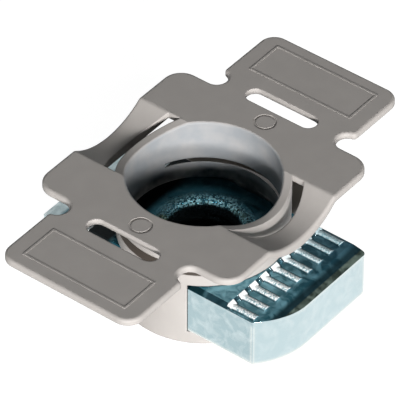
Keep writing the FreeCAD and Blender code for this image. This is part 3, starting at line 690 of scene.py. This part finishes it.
        # Towards +X more grey shows on the ridges: painted shade.
        dimmer_pits = add_node(tree, "Math", {"operation": "MULTIPLY"},
                           {0: dimmer_toward_x, 1: self.dimmer_pit_share}).outputs[0]
        kept = add_node(tree, "Mix", None, {0: dimmer_pits, 2: dotted, 3: 1.0}).outputs[0]
        # The ridges are painted matt white: bare metal, and a painted highlight.
        return add_node(tree, "Mix", {"data_type": "RGBA"},
                        {0: kept, 6: linear(self.bare_and_highlight), 7: linear(self.pit)}).outputs[2]

    def relief(self, tree: bpy.types.NodeTree, in_mm: Socket, off_axis: Socket, near_hole: Socket,
               bitten: Socket) -> Socket:
        """Turns the normal: soft edges, turned rings round the hole, crystals where the dies bit.

        Args:
            tree: Node tree of the finish.
            in_mm: Place on the bar in millimetres.
            off_axis: Distance from the hole's axis.
            near_hole: Share by which the place belongs to the hole's mouth.
            bitten: Share by which the place carries crystals.

        Returns:
            The turned normal.
        """
        turns = add_node(tree, "Math", {"operation": "MULTIPLY"},
                         {0: off_axis, 1: 2 * math.pi / self.ring_pitch_mm}).outputs[0]
        wave = add_node(tree, "Math", {"operation": "SINE"}, {0: turns}).outputs[0]
        rings = add_node(tree, "Math", {"operation": "MULTIPLY"}, {0: wave, 1: near_hole}).outputs[0]
        # The crystals are about 0.1 mm wide; they are drawn coarser here so that they glitter.
        crystals = add_node(tree, "TexVoronoi", None,
                            {"Vector": in_mm, "Scale": 1 / self.speckle_mm}).outputs["Distance"]
        speckle = add_node(tree, "Math", {"operation": "MULTIPLY"}, {0: crystals, 1: bitten}).outputs[0]
        edge = add_node(tree, "Bevel", {"samples": EDGE_SAMPLES},
                        {"Radius": self.edge_mm * MM}).outputs[0]
        turned = add_node(tree, "Bump", None,
                          {"Height": rings, "Distance": self.ring_height_mm * MM,
                           "Normal": edge}).outputs[0]
        return add_node(tree, "Bump", None,
                        {"Height": speckle, "Distance": self.speckle_height_mm * MM,
                         "Normal": turned}).outputs[0]


@dataclass
class HolderClip:
    """Plastic holder: the moulded node stays as the solids have it and gets its finish."""

    node: str = "holder_clip"
    finish: MouldedPolyamide = MouldedPolyamide()

    def dress(self) -> bpy.types.Object:
        """Puts the moulded finish on the holder.

        Returns:
            The holder.
        """
        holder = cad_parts[self.node]
        holder.material_slots[0].material = self.finish.material()
        return holder


@dataclass
class ChannelNut:
    """Nut bar: the node stays, and its tapped hole gets the thread, with its sizes in millimetres."""

    node: str = "channel_nut"
    finish: BrightZincPlating = BrightZincPlating()
    wall_radius: float = 4.25
    crest_radius: float = 3.98
    pitch: float = 1.5
    low: float = 2.75
    high: float = 8.5
    crest_half: float = 0.12
    flank_half: float = 0.6
    sunk: float = 0.04
    fade_turns: float = 0.6
    steps_per_turn: int = 48
    weld: float = 1e-5

    def thread(self) -> bpy.types.Object:
        """Winds one thread turn after turn up the hole's wall.

        Returns:
            The thread as a piece of its own.
        """
        mesh = bmesh.new()
        root = self.wall_radius + self.sunk
        section = [(root, -self.flank_half), (self.crest_radius, -self.crest_half),
                   (self.crest_radius, self.crest_half), (root, self.flank_half)]
        corners = [mesh.verts.new((x, 0.0, self.low + z)) for x, z in section]
        profile = mesh.faces.new(corners)
        climb = self.high - self.low
        turns = climb / self.pitch
        steps = round(turns * self.steps_per_turn)
        bmesh.ops.spin(mesh, geom=[profile, *profile.edges, *profile.verts], cent=(0, 0, 0), axis=UP,
                       dvec=(0, 0, climb / steps), angle=2 * math.pi * turns, steps=steps)
        self.run_out(mesh, root)
        bmesh.ops.remove_doubles(mesh, verts=mesh.verts, dist=self.weld)
        bmesh.ops.recalc_face_normals(mesh, faces=mesh.faces)
        bmesh.ops.transform(mesh, matrix=Matrix.Scale(MM, 4), verts=mesh.verts)
        data = bpy.data.meshes.new("nut_thread")
        mesh.to_mesh(data)
        mesh.free()
        piece = bpy.data.objects.new("nut_thread", data)
        bpy.context.collection.objects.link(piece)
        return piece

    def run_out(self, mesh: bmesh.types.BMesh, root: float) -> None:
        """Sinks the thread's crest into the wall at both ends, as it runs out of a countersink.

        Args:
            mesh: Thread in millimetres.
            root: Radius at which the thread is inside the wall.
        """
        fade = self.fade_turns * self.pitch
        for vert in mesh.verts:
            radius = math.hypot(vert.co.x, vert.co.y)
            spare = min(vert.co.z - self.low, self.high - vert.co.z) / fade
            depth = min(1.0, max(0.0, spare))
            grown = root + (radius - root) * depth
            vert.co.x *= grown / radius
            vert.co.y *= grown / radius

    def dress(self) -> list[bpy.types.Object]:
        """Plates the bar and its thread, and fastens the thread to the bar's body.

        Returns:
            The bar and its thread.
        """
        plating = self.finish.material()
        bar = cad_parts[self.node]
        bar.material_slots[0].material = plating
        thread = self.thread()
        thread.data.materials.append(plating)
        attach(thread, "root")
        return [bar, thread]


class LampPlace(Enum):
    """Where a lamp stands: azimuth from +X and elevation, in degrees."""

    FRONT = (234.0, 17.0)
    LOW_FRONT = (217.0, 11.0)
    TOP = (218.0, 86.0)


@dataclass(frozen=True)
class Lamp:
    """A soft rectangular lamp that looks at the part, in watts and metres."""

    place: LampPlace
    power: float
    width: float
    height: float
    distance: float = 1.6

    def hang(self, aim: Vector) -> bpy.types.Object:
        """Hangs the lamp.

        Args:
            aim: Point that the lamp looks at.

        Returns:
            The lamp's object.
        """
        turn, rise = (math.radians(angle) for angle in self.place.value)
        level = math.cos(rise)
        away = Vector((math.cos(turn) * level, math.sin(turn) * level, math.sin(rise)))
        data = bpy.data.lights.new(self.place.name.lower(), "AREA")
        data.shape = "RECTANGLE"
        data.size, data.size_y, data.energy = self.width, self.height, self.power
        lamp = bpy.data.objects.new(data.name, data)
        lamp.location = aim + away * self.distance
        lamp.rotation_euler = (-away).to_track_quat("-Z", "Y").to_euler()
        bpy.context.collection.objects.link(lamp)
        return lamp


@dataclass
class Studio:
    """White floor, dark ceiling, soft lamps and the camera, in metres where no other unit is named."""

    # Camera
    eye: tuple[float, float, float] = (-0.34580, -0.26906, 0.39505)
    aim: tuple[float, float, float] = (-0.001988, -0.000990, 0.015919)
    lens_mm: float = 423.4
    roll_deg: float = 0.193
    sensor_mm: float = 36.0
    clip_start: float = 0.01
    # Room: colours from the walls up, and the heights above the horizon at which they change
    white: str = "#FFFFFF"
    ceiling: str = "#A4B9BE"
    night: str = "#05090B"
    walls_top_deg: float = 20.0
    ceiling_from_deg: float = 36.0
    ceiling_to_deg: float = 43.0
    night_from_deg: float = 52.0
    soft_share: float = 0.08
    # Floor: the light that it throws back, its glow, and where it is painted darker as a painted shadow,
    # behind the part and inside its foot ring
    floor_half: float = 1.5
    paper: str = "#C8C8C8"
    faint: str = "#7C7C7C"
    glow: float = 0.97
    shadow: str = "#807A72"
    foot_mm: tuple[float, float] = (10.9, 10.3)
    shadow_mm: tuple[float, float, float] = (13.0, 8.0, 0.0)
    shadow_half_mm: tuple[float, float, float] = (16.0, 11.0, 1.0)
    # Lamps
    lamps: tuple[Lamp, ...] = (
        Lamp(LampPlace.FRONT, 32.0, 0.6, 0.22),
        Lamp(LampPlace.LOW_FRONT, 26.0, 1.0, 0.1),
        Lamp(LampPlace.TOP, 2.0, 0.4, 0.4),
    )

    def lay_floor(self) -> None:
        """Lays the white floor, which keeps a faint shadow of the part and is painted darker behind it
        as a painted shadow.
        """
        mesh = bmesh.new()
        bmesh.ops.create_grid(mesh, x_segments=2, y_segments=2, size=self.floor_half)
        data = bpy.data.meshes.new("floor")
        mesh.to_mesh(data)
        mesh.free()
        floor = bpy.data.objects.new("floor", data)
        bpy.context.collection.objects.link(floor)
        material, tree = empty_material("white studio floor")
        rays = add_node(tree, "LightPath").outputs
        mirrored = add_node(tree, "Math", {"operation": "MAXIMUM"},
                            {0: rays["Is Glossy Ray"], 1: rays["Is Transmission Ray"]}).outputs[0]
        looked_at = add_node(tree, "Math", {"operation": "MAXIMUM"},
                             {0: rays["Is Camera Ray"], 1: mirrored}).outputs[0]
        # Past a matt surface the glow counts for nothing, so it lights neither the part nor its shadow.
        direct = add_node(tree, "Math", {"operation": "LESS_THAN"},
                          {0: rays["Diffuse Depth"], 1: FIRST_BOUNCE}).outputs[0]
        seen = add_node(tree, "Math", {"operation": "MULTIPLY"}, {0: looked_at, 1: direct}).outputs[0]
        paper = add_node(tree, "BsdfDiffuse", None, {"Color": linear(self.paper)}).outputs[0]
        # The lamps stand in front, so the part's shadow lies behind it and inside its foot ring. There
        # the floor is painted darker and does not glow, a painted shadow over the real one; further out
        # it fades into the white.
        in_mm, off_axis = place_on_piece(tree)
        closed = add_node(tree, "MapRange", None,
                          {"Value": off_axis, "From Min": self.foot_mm[0],
                           "From Max": self.foot_mm[1]}).outputs[0]
        behind = oval_patch(tree, in_mm, self.shadow_mm, self.shadow_half_mm)
        shaded = add_node(tree, "Math", {"operation": "MAXIMUM"}, {0: closed, 1: behind}).outputs[0]
        deep = add_node(tree, "BsdfDiffuse", None, {"Color": linear(self.shadow)}).outputs[0]
        faint = add_node(tree, "BsdfDiffuse", None, {"Color": linear(self.faint)}).outputs[0]
        glow = add_node(tree, "Emission", None,
                        {"Color": linear(self.white), "Strength": self.glow}).outputs[0]
        open_floor = add_node(tree, "AddShader", None, {0: faint, 1: glow}).outputs[0]
        backdrop = add_node(tree, "MixShader", None, {0: shaded, 1: open_floor, 2: deep}).outputs[0]
        surface = add_node(tree, "MixShader", None, {0: seen, 1: paper, 2: backdrop}).outputs[0]
        add_node(tree, "OutputMaterial", None, {"Surface": surface})
        data.materials.append(material)

    def light_world(self) -> None:
        """Makes the room that the metal mirrors: white walls low down, a dark ceiling above."""
        world = bpy.data.worlds.new("studio room")
        world.use_nodes = True
        tree = world.node_tree
        tree.nodes.clear()
        heading = add_node(tree, "TexCoord").outputs["Generated"]
        height = add_node(tree, "SeparateXYZ", None, {0: heading}).outputs[2]
        rise = add_node(tree, "MapRange", {"interpolation_type": "SMOOTHSTEP"},
                        {"Value": height, "From Min": math.sin(math.radians(self.walls_top_deg)),
                         "From Max": math.sin(math.radians(self.ceiling_from_deg))}).outputs[0]
        wall = add_node(tree, "Mix", {"data_type": "RGBA"},
                        {0: rise, 6: linear(self.white), 7: linear(self.ceiling)}).outputs[2]
        climb = add_node(tree, "MapRange", {"interpolation_type": "SMOOTHSTEP"},
                         {"Value": height, "From Min": math.sin(math.radians(self.ceiling_to_deg)),
                          "From Max": math.sin(math.radians(self.night_from_deg))}).outputs[0]
        room = add_node(tree, "Mix", {"data_type": "RGBA"},
                        {0: climb, 6: wall, 7: linear(self.night)}).outputs[2]
        # The metal mirrors the room as it is, while little of its soft light gets into the well.
        rays = add_node(tree, "LightPath").outputs
        soft = add_node(tree, "VectorMath", {"operation": "SCALE"},
                        {0: room, "Scale": self.soft_share}).outputs[0]
        direct = add_node(tree, "Math", {"operation": "LESS_THAN"},
                          {0: rays["Diffuse Depth"], 1: FIRST_BOUNCE}).outputs[0]
        mirrored = add_node(tree, "Math", {"operation": "MULTIPLY"},
                            {0: rays["Is Glossy Ray"], 1: direct}).outputs[0]
        lit = add_node(tree, "Mix", {"data_type": "RGBA"}, {0: mirrored, 6: soft, 7: room}).outputs[2]
        colour = add_node(tree, "Mix", {"data_type": "RGBA"},
                          {0: rays["Is Camera Ray"], 6: lit, 7: linear(self.white)}).outputs[2]
        light = add_node(tree, "Background", None, {"Color": colour}).outputs[0]
        add_node(tree, "OutputWorld", None, {"Surface": light})
        bpy.context.scene.world = world

    def place_camera(self) -> None:
        """Stands the camera where the part is seen from above its left corner."""
        data = bpy.data.cameras.new("camera")
        data.lens, data.sensor_width = self.lens_mm, self.sensor_mm
        data.clip_start = self.clip_start
        camera = bpy.data.objects.new("camera", data)
        camera.location = self.eye
        look = Vector(self.aim) - Vector(self.eye)
        camera.rotation_euler = look.to_track_quat("-Z", "Y").to_euler()
        camera.rotation_euler.rotate_axis("Z", math.radians(self.roll_deg))
        bpy.context.collection.objects.link(camera)
        bpy.context.scene.camera = camera

    def set_up(self) -> None:
        """Sets up floor, room, lamps and camera."""
        self.lay_floor()
        self.light_world()
        for lamp in self.lamps:
            lamp.hang(Vector(self.aim))
        self.place_camera()
        bpy.context.scene.view_settings.view_transform = "Standard"


def main() -> None:
    """Builds the part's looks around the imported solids."""
    logging.basicConfig(level=logging.INFO)
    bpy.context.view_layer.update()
    log.info("dressed %s", HolderClip().dress().name)
    for piece in ChannelNut().dress():
        log.info("dressed %s", piece.name)
    Studio().set_up()
    bpy.context.view_layer.update()


if __name__ == "__main__":
    main()
